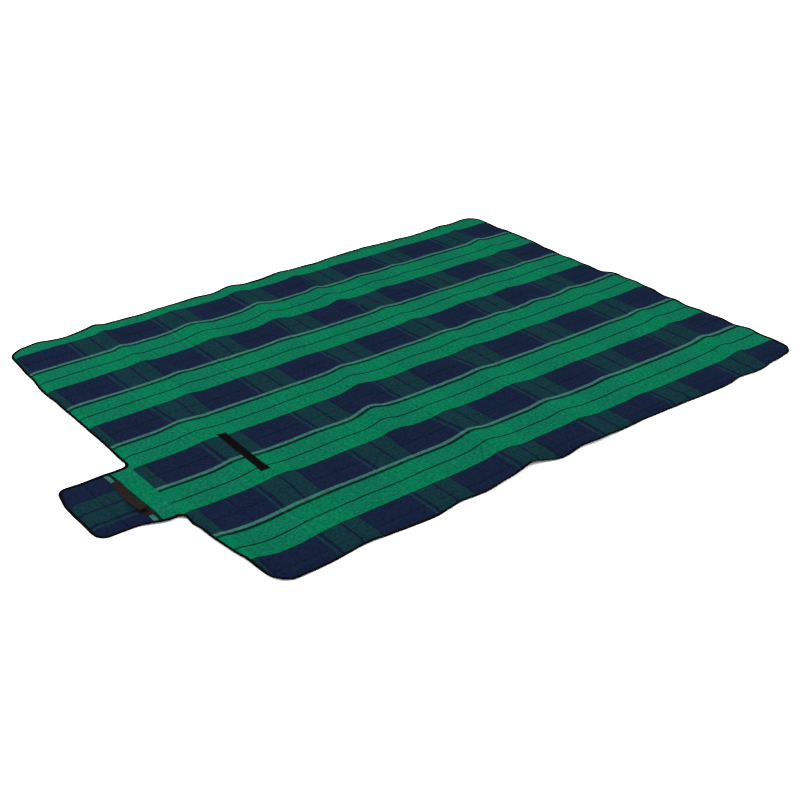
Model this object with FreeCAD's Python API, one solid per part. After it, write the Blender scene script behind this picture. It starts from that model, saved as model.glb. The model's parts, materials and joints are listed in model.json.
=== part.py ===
"""Padded camp blanket with a carry tongue: wadding between a tartan face cloth and a waterproof backing,
bound all round with folded tape, a webbing handle on the tongue and a hook-and-loop closure.

Frame: millimetres, +Z up, origin at the bottom centre of the whole blanket lying flat and open, face up.
+X runs along the blanket's length, away from the tongue, and +Y runs from its front edge to its back edge.
"""

import os

import FreeCAD
import Part

Vector = FreeCAD.Vector

# Overall size
PANEL_LENGTH = 1500.0
PANEL_WIDTH = 1200.0
PANEL_CORNER_RADIUS = 40.0
TONGUE_LENGTH = 175.0
TONGUE_WIDTH = 207.0
TONGUE_CENTRE_Y = -170.0
TONGUE_CORNER_RADIUS = 22.0
TONGUE_ROOT_RADIUS = 13.0

# Layers, from the ground up
BACKING = 0.4
WADDING = 2.0
FACE_CLOTH = 1.6
THICKNESS = BACKING + WADDING + FACE_CLOTH

# Edge binding: a tape folded over the pressed rim of the layers
TAPE = 0.8
BINDING_WIDTH = 6.0
RIM_WADDING = 0.8

# Sewing thread, as a raised line
THREAD_WIDTH = 0.8
THREAD_HEIGHT = 0.3
BINDING_SEAM_INSET = 4.3

# Fold lines and the gaps between the rigid pieces beside them
BODY_GAP = 0.3
FOLD_LINES = (-PANEL_WIDTH / 4, 0.0, PANEL_WIDTH / 4)

# Hook-and-loop closure
STRIP_WIDTH = 20.0
LOOP_STRIP_LENGTH = 190.0
LOOP_STRIP_FROM_EDGE = 200.0
LOOP_STRIP_TILT = -2.4
LOOP_STRIP_HEIGHT = 1.2
HOOK_STRIP_LENGTH = 170.0
HOOK_STRIP_FROM_END = 30.0
HOOK_STRIP_HEIGHT = 1.0
STRIP_SEAM_INSET = 2.0

# Seam that joins the tongue to the panel
ALLOWANCE_WIDTH = 10.0
ALLOWANCE_THICKNESS = 0.8
ALLOWANCE_SHORTER_BY = 30.0
SEAM_THREAD_INSET = 1.0

# Webbing handle
WEBBING_WIDTH = 20.0
WEBBING_THICKNESS = 1.2
HANDLE_FROM_EDGE = 53.0
HANDLE_FRONT_Y = -263.0
HANDLE_BACK_Y = -109.0
HANDLE_END_LENGTH = 25.0
HANDLE_RISE = 7.0
BOX_STITCH_INSET = 4.0

# Places worked out from the sizes above
RIGHT_EDGE = (PANEL_LENGTH + TONGUE_LENGTH) / 2
LEFT_EDGE = RIGHT_EDGE - PANEL_LENGTH
TONGUE_END = LEFT_EDGE - TONGUE_LENGTH
HANDLE_X = LEFT_EDGE - HANDLE_FROM_EDGE
FAR = 2 * PANEL_LENGTH


def box(low, high):
    """A box from its lowest corner to its highest corner."""
    size = [b - a for a, b in zip(low, high)]
    return Part.makeBox(*size, Vector(*low))


def centred_box(x, y, width, length, low, high):
    """A box centred on (x, y), width along X and length along Y, from z low to z high."""
    return box((x - width / 2, y - length / 2, low), (x + width / 2, y + length / 2, high))


def outline(inset):
    """The blanket's silhouette, panel and tongue in one, moved inwards by inset.

    Each corner is (centre x, centre y, radius, start angle, end angle), anticlockwise round the blanket.
    The two corners at the tongue's root are concave, so they turn clockwise and grow with the inset.
    """
    corner = PANEL_CORNER_RADIUS
    half_width = PANEL_WIDTH / 2
    free = TONGUE_CORNER_RADIUS
    root = TONGUE_ROOT_RADIUS
    back_side = TONGUE_CENTRE_Y + TONGUE_WIDTH / 2
    front_side = TONGUE_CENTRE_Y - TONGUE_WIDTH / 2
    corners = [
        (RIGHT_EDGE - corner, -half_width + corner, corner - inset, -90, 0),
        (RIGHT_EDGE - corner, half_width - corner, corner - inset, 0, 90),
        (LEFT_EDGE + corner, half_width - corner, corner - inset, 90, 180),
        (LEFT_EDGE - root, back_side + root, root + inset, 0, -90),
        (TONGUE_END + free, back_side - free, free - inset, 90, 180),
        (TONGUE_END + free, front_side + free, free - inset, 180, 270),
        (LEFT_EDGE - root, front_side - root, root + inset, 90, 0),
        (LEFT_EDGE + corner, -half_width + corner, corner - inset, 180, 270),
    ]
    edges = []
    arcs = [corner_arc(*values) for values in corners]
    for (arc, _, end), (_, next_start, _) in zip(arcs, arcs[1:] + arcs[:1]):
        edges.append(arc)
        edges.append(Part.LineSegment(end, next_start).toShape())
    return Part.Wire(edges)


def corner_arc(x, y, radius, start_angle, end_angle):
    """An arc about (x, y) between two angles in degrees, as (edge, start point, end point)."""
    def point(angle):
        spoke = FreeCAD.Rotation(Vector(0, 0, 1), angle).multVec(Vector(radius, 0, 0))
        return Vector(x, y, 0) + spoke

    start, end = point(start_angle), point(end_angle)
    return Part.Arc(start, point((start_angle + end_angle) / 2), end).toShape(), start, end


def slab(inset, low, high):
    """The silhouette moved inwards by inset, from z low to z high."""
    face = Part.Face(outline(inset))
    face.translate(Vector(0, 0, low))
    return face.extrude(Vector(0, 0, high - low))


def rim(outer, inner, low, high):
    """A band that follows the edge, from outer to inner mm inside it, from z low to z high."""
    return slab(outer, low, high).cut(slab(inner, low, high))


def joined(*shapes):
    """Several touching shapes as one clean solid."""
    return shapes[0].multiFuse(list(shapes[1:])).removeSplitter()


def backing_layer():
    """The waterproof film: flat on the ground, then stepped up into the binding."""
    step = BINDING_WIDTH + BACKING
    return joined(
        slab(BINDING_WIDTH, 0, BACKING),
        rim(BINDING_WIDTH, step, 0, TAPE + BACKING),
        rim(TAPE, step, TAPE, TAPE + BACKING),
    )


def wadding_layer():
    """The padding: full height in the field, pressed thin inside the binding."""
    step = BINDING_WIDTH + BACKING
    rim_bottom = TAPE + BACKING
    top = BACKING + WADDING
    return joined(
        slab(step, BACKING, top),
        rim(BINDING_WIDTH, step, rim_bottom, top),
        rim(TAPE, BINDING_WIDTH, rim_bottom, rim_bottom + RIM_WADDING),
    )


def face_layer():
    """The brushed cloth: on top of the padding, then stepped down into the binding."""
    rim_bottom = TAPE + BACKING + RIM_WADDING
    return joined(
        slab(BINDING_WIDTH, BACKING + WADDING, THICKNESS),
        rim(TAPE, BINDING_WIDTH, rim_bottom, THICKNESS - TAPE),
    )


def binding_layer():
    """The tape: a lip above and a lip below the rim, and the fold round the edge."""
    return joined(
        rim(0, BINDING_WIDTH, 0, TAPE),
        rim(0, BINDING_WIDTH, THICKNESS - TAPE, THICKNESS),
        rim(0, TAPE, 0, THICKNESS),
    )


def binding_thread_layer():
    """The row of stitches along the binding's upper lip."""
    inner = BINDING_SEAM_INSET + THREAD_WIDTH
    return rim(BINDING_SEAM_INSET, inner, THICKNESS, THICKNESS + THREAD_HEIGHT)


LAYERS = {
    "backing": backing_layer,
    "wadding": wadding_layer,
    "face_cloth": face_layer,
    "binding": binding_layer,
    "binding_thread": binding_thread_layer,
}


def body_regions():
    """The space of each rigid body: four quarters between the fold lines, and the tongue."""
    lines = [-FAR, *FOLD_LINES, FAR]
    names = ("front", "centre_front", "centre_back", "back")
    regions = {}
    for name, low, high in zip(names, lines, lines[1:]):
        regions[name] = box((LEFT_EDGE, low + BODY_GAP, -FAR), (FAR, high - BODY_GAP, FAR))
    regions["tongue"] = box((-FAR, -FAR, -FAR), (LEFT_EDGE - BODY_GAP, FAR, FAR))
    return regions


def loop_strip_place(shape):
    """Moves a shape made about the origin to the loop strip's place on the panel's face."""
    shape.rotate(Vector(0, 0, 0), Vector(0, 0, 1), LOOP_STRIP_TILT)
    shape.translate(Vector(LEFT_EDGE + LOOP_STRIP_FROM_EDGE, TONGUE_CENTRE_Y, 0))
    return shape


def stitched_frame(x, y, width, length, low, high):
    """A rectangular line of stitches, one thread wide."""
    outer = centred_box(x, y, width, length, low, high)
    inner_size = (width - 2 * THREAD_WIDTH, length - 2 * THREAD_WIDTH)
    return outer.cut(centred_box(x, y, *inner_size, low, high))


def loop_strip():
    """The loop half of the closure, sewn on the face in line with the tongue."""
    top = THICKNESS + LOOP_STRIP_HEIGHT
    return loop_strip_place(centred_box(0, 0, STRIP_WIDTH, LOOP_STRIP_LENGTH, THICKNESS, top))


def loop_strip_thread():
    """The stitches round the loop strip."""
    top = THICKNESS + LOOP_STRIP_HEIGHT
    size = (STRIP_WIDTH - 2 * STRIP_SEAM_INSET, LOOP_STRIP_LENGTH - 2 * STRIP_SEAM_INSET)
    return loop_strip_place(stitched_frame(0, 0, *size, top, top + THREAD_HEIGHT))


def hook_strip_box(grow, low, high):
    """A box over the hook strip's place under the tongue's free end, grow mm larger on each side."""
    x = TONGUE_END + HOOK_STRIP_FROM_END
    size = (STRIP_WIDTH + 2 * grow, HOOK_STRIP_LENGTH + 2 * grow)
    return centred_box(x, TONGUE_CENTRE_Y, *size, low, high)


def hook_strip_thread():
    """The stitches round the hook strip, sunk flush with its underside."""
    x = TONGUE_END + HOOK_STRIP_FROM_END
    size = (STRIP_WIDTH - 2 * STRIP_SEAM_INSET, HOOK_STRIP_LENGTH - 2 * STRIP_SEAM_INSET)
    return stitched_frame(x, TONGUE_CENTRE_Y, *size, 0, THREAD_HEIGHT)


def hook_strip():
    """The hook half of the closure, pressed into the tongue's underside."""
    return hook_strip_box(0, 0, HOOK_STRIP_HEIGHT).cut(hook_strip_thread())


def seam_allowance():
    """The tongue cloth's turned-under edge, between the panel's padding and its face cloth."""
    top = BACKING + WADDING
    low = (LEFT_EDGE + BODY_GAP, 0, top - ALLOWANCE_THICKNESS)
    high = (LEFT_EDGE + BODY_GAP + ALLOWANCE_WIDTH, 0, top)
    return along_root(low, high)


def seam_thread():
    """The row of stitches that holds the turned-under edge."""
    top = BACKING + WADDING - ALLOWANCE_THICKNESS
    x = LEFT_EDGE + SEAM_THREAD_INSET
    return along_root((x, 0, top - THREAD_HEIGHT), (x + THREAD_WIDTH, 0, top))


def along_root(low, high):
    """A box with the given X and Z limits that runs along the tongue's root."""
    half_length = (TONGUE_WIDTH - ALLOWANCE_SHORTER_BY) / 2
    ends = (TONGUE_CENTRE_Y - half_length, TONGUE_CENTRE_Y + half_length)
    return box((low[0], ends[0], low[2]), (high[0], ends[1], high[2]))


def handle_end(y):
    """One sewn-down end of the webbing, centred on y."""
    top = THICKNESS + WEBBING_THICKNESS
    return centred_box(HANDLE_X, y, WEBBING_WIDTH, HANDLE_END_LENGTH, THICKNESS, top)


def box_stitch(y):
    """A square of stitches crossed corner to corner, on one end of the webbing."""
    low = THICKNESS + WEBBING_THICKNESS
    high = low + THREAD_HEIGHT
    side = WEBBING_WIDTH - 2 * BOX_STITCH_INSET
    frame = stitched_frame(HANDLE_X, y, side, side, low, high)
    square = centred_box(HANDLE_X, y, side, side, low, high)
    lines = []
    for angle in (45, -45):
        line = centred_box(0, 0, THREAD_WIDTH, 2 * side, low, high)
        line.rotate(Vector(0, 0, 0), Vector(0, 0, 1), angle)
        line.translate(Vector(HANDLE_X, y, 0))
        lines.append(line.common(square))
    return joined(frame, *lines)


def handle_strap():
    """The free span of the webbing, a shallow arch between its sewn ends."""
    start = HANDLE_FRONT_Y + HANDLE_END_LENGTH + BODY_GAP
    end = HANDLE_BACK_Y - HANDLE_END_LENGTH - BODY_GAP
    x = HANDLE_X - WEBBING_WIDTH / 2
    low = THICKNESS + BODY_GAP

    def arch(height):
        ends = (Vector(x, start, height), Vector(x, end, height))
        crown = Vector(x, (start + end) / 2, height + HANDLE_RISE)
        return Part.Arc(ends[0], crown, ends[1])

    lower, upper = arch(low), arch(low + WEBBING_THICKNESS)
    sides = [
        Part.LineSegment(lower.StartPoint, upper.StartPoint),
        Part.LineSegment(lower.EndPoint, upper.EndPoint),
    ]
    edges = [curve.toShape() for curve in (lower, sides[1], upper, sides[0])]
    profile = Part.Wire(Part.__sortEdges__(edges))
    return Part.Face(profile).extrude(Vector(WEBBING_WIDTH, 0, 0))


def build_nodes():
    """Every sub-part of the blanket, as node name to shape."""
    nodes = {}
    regions = body_regions()
    for layer_name, make_layer in LAYERS.items():
        layer = make_layer()
        for region_name, region in regions.items():
            nodes[f"{layer_name}_{region_name}"] = layer.common(region)

    allowance, seam = seam_allowance(), seam_thread()
    nodes["tongue_seam_allowance"] = allowance
    nodes["tongue_seam_thread"] = seam
    nodes["wadding_centre_front"] = nodes["wadding_centre_front"].cut([allowance, seam])

    # The backing dips round the hook strip like a shallow tray, and the padding gives way to it.
    tray = hook_strip_box(BACKING, 0, HOOK_STRIP_HEIGHT + BACKING)
    hollow = hook_strip_box(0, 0, HOOK_STRIP_HEIGHT)
    nodes["backing_tongue"] = joined(nodes["backing_tongue"], tray).cut(hollow)
    nodes["wadding_tongue"] = nodes["wadding_tongue"].cut(tray)
    nodes["hook_strip"] = hook_strip()
    nodes["hook_strip_thread"] = hook_strip_thread()

    nodes["loop_strip"] = loop_strip()
    nodes["loop_strip_thread"] = loop_strip_thread()

    end_centres = {
        "front": HANDLE_FRONT_Y + HANDLE_END_LENGTH / 2,
        "back": HANDLE_BACK_Y - HANDLE_END_LENGTH / 2,
    }
    for name, y in end_centres.items():
        nodes[f"handle_end_{name}"] = handle_end(y)
        nodes[f"handle_end_thread_{name}"] = box_stitch(y)
    nodes["handle_strap"] = handle_strap()
    return nodes


def main():
    os.makedirs("parts", exist_ok=True)
    for name, shape in build_nodes().items():
        if not shape.isValid() or not shape.Solids:
            raise ValueError(f"{name} is not a valid solid")
        shape.exportStep(f"parts/{name}.step")
        print(f"{name}: {len(shape.Solids)} solid(s), {shape.Volume / 1000:.2f} cm3")


main()
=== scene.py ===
"""Looks of the padded camp blanket, lying flat and open with its face up. Everything is in metres.

Each piece is made flat, layer by layer, and then laid(): that one mapping gives all the layers the
same creases, waviness and uneven edges, so they stay together.
"""

import json
import math

import bpy
import numpy as np
from mathutils import Matrix, Vector


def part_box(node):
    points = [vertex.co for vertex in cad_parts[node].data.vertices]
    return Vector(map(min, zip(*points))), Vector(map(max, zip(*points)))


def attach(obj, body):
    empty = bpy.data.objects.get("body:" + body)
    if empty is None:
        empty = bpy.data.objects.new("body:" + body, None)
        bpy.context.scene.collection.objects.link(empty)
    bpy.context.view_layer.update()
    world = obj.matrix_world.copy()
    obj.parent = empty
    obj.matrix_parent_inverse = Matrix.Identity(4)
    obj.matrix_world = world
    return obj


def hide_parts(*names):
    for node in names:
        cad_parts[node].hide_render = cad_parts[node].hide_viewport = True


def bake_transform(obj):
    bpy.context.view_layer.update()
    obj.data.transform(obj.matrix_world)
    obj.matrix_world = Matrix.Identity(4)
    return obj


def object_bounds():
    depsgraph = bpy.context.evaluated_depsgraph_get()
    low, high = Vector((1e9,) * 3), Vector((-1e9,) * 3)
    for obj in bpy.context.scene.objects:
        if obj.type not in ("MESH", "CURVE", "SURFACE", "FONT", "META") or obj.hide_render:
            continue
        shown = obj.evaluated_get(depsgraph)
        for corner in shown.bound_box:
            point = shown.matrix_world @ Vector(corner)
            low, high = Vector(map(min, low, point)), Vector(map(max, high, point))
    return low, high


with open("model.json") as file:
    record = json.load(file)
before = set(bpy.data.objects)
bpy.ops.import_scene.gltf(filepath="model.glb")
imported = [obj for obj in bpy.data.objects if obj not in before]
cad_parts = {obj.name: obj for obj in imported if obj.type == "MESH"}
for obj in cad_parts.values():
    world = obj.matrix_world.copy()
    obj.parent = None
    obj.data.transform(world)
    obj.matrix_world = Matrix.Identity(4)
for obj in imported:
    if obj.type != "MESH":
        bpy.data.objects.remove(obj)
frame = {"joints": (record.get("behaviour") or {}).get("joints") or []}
cad_low, cad_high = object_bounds()

MM = 0.001

# Places read from the frame
RIGHT, BACK = cad_high.x, cad_high.y
TONGUE_END, FRONT = cad_low.x, cad_low.y
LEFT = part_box("face_cloth_centre_front")[0].x
JOINT_PLACES = {joint["name"]: joint.get("pos_m") for joint in frame["joints"]}
FRONT_FOLD = JOINT_PLACES["front_fold"][1]
CENTRE_FOLD = JOINT_PLACES["centre_fold"][1]
BACK_FOLD = JOINT_PLACES["back_fold"][1]
HOOK_LOW, HOOK_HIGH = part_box("hook_strip")
LOOP_LOW, LOOP_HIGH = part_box("loop_strip")
HANDLE_LOW, HANDLE_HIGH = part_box("handle_end_front")[0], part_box("handle_end_back")[1]
SEWN_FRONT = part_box("handle_end_front")[1].y
SEWN_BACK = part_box("handle_end_back")[0].y
TONGUE_Y = (HOOK_LOW.y + HOOK_HIGH.y) / 2

# Outline
CORNER = 40 * MM
TONGUE_CORNER = 22 * MM
ROOT_FILLET = 13 * MM
TONGUE_HALF_WIDTH = 103.5 * MM

# Layers and edge
EDGE_HEIGHT = 2.0 * MM
FIELD_HEIGHT = 4.5 * MM
CLOTH = 1.5 * MM
RIM_CLOTH = 0.5 * MM
FILM = 0.18 * MM
TAPE = 0.4 * MM
LIP = 7.0 * MM
STITCH_INSET = 5.0 * MM
TUCK = 2.0 * MM
SEAM = LEFT + TUCK
SEAM_GROOVE = 1.3 * MM
SEAM_GROOVE_HALF_WIDTH = 2.2 * MM
LAYER_GAP = 0.05 * MM
CLOTH_BELOW_LIP = 0.35 * MM
TURNED_UNDER = 0.9 * MM
HOOK_BED = 1.1 * MM

# Where one piece ends and the next begins, halfway between two fold lines
SPLIT_FRONT = (FRONT_FOLD + CENTRE_FOLD) / 2
SPLIT_BACK = (BACK_FOLD + CENTRE_FOLD) / 2

# Stretches that bend when a joint moves: Y coordinates on the ground, and the tongue's reach in X
FRONT_BEND = (FRONT_FOLD + 2 * MM, FRONT_FOLD - 12 * MM)
CENTRE_BEND = (CENTRE_FOLD, CENTRE_FOLD + 24 * MM)
BACK_BEND = (BACK_FOLD - 2 * MM, BACK_FOLD + 12 * MM)
TONGUE_REACH = 30 * MM

# How far each edge strays outwards from its straight line: (place along the edge, mm)
LEFT_EDGE = ((-0.6, 0), (-0.57, 1), (-0.5, 9), (-0.42, 19), (-0.35, 23), (-0.05, 20), (0.1, 16),
             (0.35, 17), (0.43, 10), (0.5, 6), (0.6, -3))
BACK_EDGE = ((-0.66, -8), (-0.58, 0), (-0.52, -9), (-0.43, 1), (-0.25, -7), (-0.18, 3), (-0.05, -5),
             (0.04, 1), (0.15, 7), (0.23, 2), (0.33, 10), (0.41, 11), (0.52, 3), (0.58, 2), (0.68, 8),
             (0.73, 3), (0.8, 9))
RIGHT_EDGE = ((-0.59, -9), (-0.54, 0), (-0.45, 3), (-0.4, -5), (-0.31, -3), (-0.25, -7), (-0.16, -4),
              (-0.06, 5), (0, 3), (0.06, -11), (0.17, -10), (0.28, -6), (0.4, 2), (0.55, -2))
FRONT_EDGE = ((-0.66, 0), (-0.6, 0), (-0.47, -7), (-0.31, 2), (-0.23, -6), (-0.17, -2), (-0.1, -9),
              (-0.03, -17), (0.04, -1), (0.1, -6), (0.15, -1), (0.24, -5), (0.3, -8), (0.4, -4),
              (0.56, 1), (0.61, -5), (0.69, 2), (0.74, -7), (0.8, -14))
TONGUE_END_EDGE = ((-0.27, 9), (-0.235, 13), (-0.14, 12), (-0.07, 3))
BROADEST_LEFT = 23 * MM

# How deep into the blanket the straying reaches, and how much narrower the blanket lies than it is
LEFT_DEPTH = 0.36
EDGE_DEPTH = 0.07
DRAWN_IN = 0.0115

# The tongue's root widens towards the front around one place: (x, y, half length, half width)
ROOT_FLARE = 30 * MM
ROOT_FLARE_PLACE = (LEFT - 0.022, -0.29, 0.034, 0.03)

# Places where the cloth is dragged sideways: (mm towards the front, x, y, half length, half width)
DRAGS = (
    (14, LEFT + 0.075, -0.47, 0.055, 0.07),
    (-11, LEFT - 0.01, -0.45, 0.024, 0.09),
)

# Edges curl up a little, and two ridges that meet when the blanket is folded share this much room
EDGE_CURL = 1.5 * MM
EDGE_CURL_REACH = 10 * MM
EDGE_RIPPLE_REACH = 60 * MM
GROUND_GAP = 0.3 * MM
FACING_ROOM = 13.5 * MM
CENTRE_EASING = 50 * MM

# Gentle waviness: (seed, wavelength in metres, height)
BROAD_RIPPLE = (3, 0.16, 0.55 * MM)
FINE_RIPPLE = (4, 0.045, 0.16 * MM)
EDGE_RIPPLE = (5, 0.085, 0.9 * MM)
TAPE_PUCKER = (8, 0.012, 0.07 * MM)
PILE_FUZZ = (11, 0.004, 0.13 * MM)
PILE_WAVE = (12, 0.013, 0.10 * MM)

# Creases left from being folded and rolled: each runs from the back edge to the front edge through
# points (y, x, height in mm, half width in mm).
CREASES = (
    ((0.6, -0.43, 5, 13), (0.33, -0.43, 5, 13), (0.21, -0.39, 4, 19), (0, -0.5, 6, 25),
     (-0.2, -0.49, 5.5, 25), (-0.3, -0.45, 7, 25), (-0.4, -0.5, 1, 25), (-0.6, -0.45, 1, 20)),
    ((0.6, -0.24, 4, 30), (0.47, -0.243, 9, 32), (0.33, -0.243, 8, 32), (0.22, -0.24, 0, 32)),
    ((0.6, -0.045, 8, 22), (0.42, -0.045, 10, 24), (0.31, -0.065, 8, 24), (0.22, -0.11, 4, 30),
     (0.12, -0.105, 1, 30), (0.03, -0.085, 5, 25), (-0.09, -0.11, 12, 28), (-0.19, -0.16, 12, 24),
     (-0.29, -0.17, 9, 22), (-0.36, -0.19, 0, 22)),
    ((-0.2, -0.033, 0, 20), (-0.29, -0.033, 4, 20), (-0.39, -0.055, 9, 25), (-0.6, -0.055, 9, 25)),
    ((0.08, 0.07, 0, 40), (0, 0.075, 3, 45), (-0.09, 0.055, 4, 45), (-0.2, 0.1, 1, 40)),
    ((0.6, 0.13, 3, 17), (0.48, 0.136, 7, 17), (0.3, 0.136, 7, 17), (0.24, 0.2, 5, 20),
     (0.13, 0.211, 5, 20), (0.03, 0.224, 6, 30), (-0.08, 0.224, 6, 30), (-0.19, 0.161, 5, 25),
     (-0.29, 0.161, 5, 25), (-0.44, 0.168, 7, 25), (-0.52, 0.168, 7, 25), (-0.6, 0.17, 4, 25)),
    ((0.6, 0.28, 2, 19), (0.45, 0.28, 4, 19), (0.33, 0.28, 4, 19), (0.24, 0.36, 2, 30),
     (0.16, 0.4, 5.5, 40), (0.11, 0.4, 5.5, 40), (0.03, 0.405, 4, 20), (-0.1, 0.4, 2, 20),
     (-0.3, 0.36, 1, 20), (-0.4, 0.355, 3, 20), (-0.51, 0.355, 3, 20), (-0.6, 0.355, 2, 20)),
    ((0.52, 0.395, 0, 15), (0.45, 0.395, 3, 15), (0.37, 0.395, 3, 15), (0.3, 0.395, 0, 15)),
    ((0.09, 0.324, 0, 18), (0.03, 0.324, 4, 18), (-0.03, 0.324, 0, 18)),
    ((0.32, 0.53, 0, 30), (0.24, 0.53, 4, 30), (0.17, 0.53, 4, 30), (0.03, 0.536, 4, 22),
     (-0.05, 0.536, 2, 22), (-0.2, 0.53, 0, 22)),
    ((0.6, 0.705, 3, 15), (0.45, 0.705, 5.5, 15), (0.32, 0.705, 5.5, 15), (0.15, 0.69, 2, 20),
     (0.02, 0.661, 5, 20), (-0.04, 0.661, 5, 20), (-0.15, 0.69, 3, 20), (-0.24, 0.699, 7, 20),
     (-0.52, 0.699, 7, 20), (-0.6, 0.7, 3, 20)),
)

# Broad swells: (height in mm, x, y, half length, half width)
SWELLS = (
    (4.5, 0.02, -0.52, 0.1, 0.09),
    (4, LEFT, -0.45, 0.06, 0.07),
    (3, RIGHT, -0.1, 0.05, 0.2),
    (2, LEFT - 0.02, -0.17, 0.03, 0.12),
)


def ease(value, start, end):
    """0 before start, 1 after end, and an S-curve between them."""
    share = np.clip((value - start) / (end - start), 0, 1)
    return share * share * (3 - 2 * share)


def ripple(x, y, seed, wavelength, height):
    """Gentle waviness of a given root-mean-square height, as plane waves in seeded directions."""
    draw = np.random.RandomState(seed)
    waves = 8
    total = np.zeros(np.shape(x))
    for _ in range(waves):
        angle, phase = draw.uniform(0, 2 * math.pi, 2)
        length = wavelength * draw.uniform(0.7, 1.4)
        along = x * math.cos(angle) + y * math.sin(angle)
        total += np.sin(2 * math.pi * along / length + phase)
    return height * total / math.sqrt(waves / 2)


def through(points, place):
    """Smooth curves through a few points, each (place, values...), read at the given places."""
    table = np.array(points, float)
    last = len(table) - 1
    position = np.interp(place, table[:, 0], np.arange(last + 1))
    before = np.minimum(position.astype(int), last - 1)
    share = ease(position - before, 0, 1)[..., None]
    return np.moveaxis(table[before, 1:] * (1 - share) + table[before + 1, 1:] * share, -1, 0)


def crease_height(crease, x, y):
    """The height that one crease adds at (x, y)."""
    middle, height, half_width = through(crease[::-1], y)
    return height * MM * np.exp(-(((x - middle) / (half_width * MM)) ** 2) / 2)


def mound(x, y, centre_x, centre_y, half_length, half_width):
    """1 at a centre, falling away smoothly around it."""
    distance = ((x - centre_x) / half_length) ** 2 + ((y - centre_y) / half_width) ** 2
    return np.exp(-distance / 2)


def relief(x, y):
    """The height of the creases, swells, edge curl and ripples at a flat point (x, y)."""
    height = sum(crease_height(crease, x, y) for crease in CREASES)
    for swell, *place in SWELLS:
        height = height + swell * MM * mound(x, y, *place)
    from_edge = inset(x, y)
    near_edge = 1 - ease(from_edge, 0, EDGE_RIPPLE_REACH)
    height = height + EDGE_CURL * (1 - ease(from_edge, 0, EDGE_CURL_REACH))
    height = height + ripple(x, y, *BROAD_RIPPLE) + ripple(x, y, *FINE_RIPPLE)
    height = height + near_edge * ripple(x, y, *EDGE_RIPPLE)
    return np.maximum(height + GROUND_GAP, 0)


def lift(x, y):
    """How far the blanket stands off the ground at a flat point (x, y).

    Where two ridges come face to face once a quarter is folded over, both are lower, so that
    neither pushes through the other quarter.
    """
    height = relief(x, y)
    fold = np.where(np.asarray(y) > CENTRE_FOLD, BACK_FOLD, FRONT_FOLD)
    together = np.maximum(height + relief(x, 2 * fold - y), FACING_ROOM)
    lowered = 1 - FACING_ROOM / together
    return height * (1 - lowered * ease(np.abs(y - CENTRE_FOLD), 0, CENTRE_EASING))


def outline_shift(x, y):
    """How far the blanket's own uneven outline moves a flat point (x, y) sideways."""
    past_root = ease(LEFT - x, 0, LEFT - TONGUE_END)
    end = through(TONGUE_END_EDGE, y)[0] * MM * past_root
    left = through(LEFT_EDGE, y)[0] * MM * (1 - past_root) + end
    right = through(RIGHT_EDGE, y)[0] * MM * ease(x, RIGHT - EDGE_DEPTH, RIGHT)
    back = through(BACK_EDGE, x)[0] * MM * ease(y, BACK - EDGE_DEPTH, BACK)
    front = through(FRONT_EDGE, x)[0] * MM * ease(-y, -FRONT - EDGE_DEPTH, -FRONT)
    drawn_in = DRAWN_IN * (y - FRONT)
    flared = ROOT_FLARE * mound(x, y, *ROOT_FLARE_PLACE)
    return right - left * (1 - ease(x, LEFT, LEFT + LEFT_DEPTH)), back - front - drawn_in - flared


def spread(x, y):
    """How far a flat point (x, y) has moved sideways."""
    aside_x, aside_y = outline_shift(x, y)
    for pull, *place in DRAGS:
        aside_y = aside_y - pull * MM * mound(x, y, *place)
    return aside_x, aside_y


def laid(x, y, z):
    """Where a point of the flat blanket ends up once the blanket lies on the ground."""
    aside_x, aside_y = spread(x, y)
    return np.stack([x + aside_x, y + aside_y, z + lift(x, y)], axis=-1)


def inside_rectangle(x, y, low, high, radius):
    """Distance inside a rectangle with rounded corners, negative outside it."""
    centre = [(a + b) / 2 for a, b in zip(low, high)]
    half = [(b - a) / 2 - radius for a, b in zip(low, high)]
    beyond_x = np.abs(x - centre[0]) - half[0]
    beyond_y = np.abs(y - centre[1]) - half[1]
    corner = np.hypot(np.maximum(beyond_x, 0), np.maximum(beyond_y, 0))
    return radius - corner - np.minimum(np.maximum(beyond_x, beyond_y), 0)


def inset(x, y):
    """Distance inside the blanket's outline, panel and tongue in one."""
    panel = inside_rectangle(x, y, (LEFT, FRONT), (RIGHT, BACK), CORNER)
    tongue_low = (TONGUE_END, TONGUE_Y - TONGUE_HALF_WIDTH)
    tongue_high = (LEFT + 2 * TONGUE_HALF_WIDTH, TONGUE_Y + TONGUE_HALF_WIDTH)
    tongue = inside_rectangle(x, y, tongue_low, tongue_high, TONGUE_CORNER)
    distance = np.maximum(panel, tongue)
    for side in (-1, 1):
        centre_x = LEFT - ROOT_FILLET
        centre_y = TONGUE_Y + side * (TONGUE_HALF_WIDTH + ROOT_FILLET)
        fillet = np.hypot(x - centre_x, y - centre_y) - ROOT_FILLET
        facing = (x > centre_x) & ((y - centre_y) * side < 0) & (fillet < 30 * MM)
        distance = np.where(facing, fillet, distance)
    return distance


def at_root(y):
    """1 along the tongue's root and 0 beyond its ends."""
    return 1 - ease(np.abs(y - TONGUE_Y), TONGUE_HALF_WIDTH - 4 * MM, TONGUE_HALF_WIDTH + 6 * MM)


def puff(x, y):
    """0 under the binding and 1 where the padding has its full height."""
    return ease(inset(x, y), LIP - 1 * MM, LIP + 13 * MM)


def cloth_top(x, y):
    """Height of the face cloth's upper side."""
    groove = SEAM_GROOVE * np.exp(-(((x - SEAM) / SEAM_GROOVE_HALF_WIDTH) ** 2) / 2) * at_root(y)
    under_lip = EDGE_HEIGHT - TAPE - CLOTH_BELOW_LIP
    return under_lip + (FIELD_HEIGHT - under_lip - groove) * puff(x, y)


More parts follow.
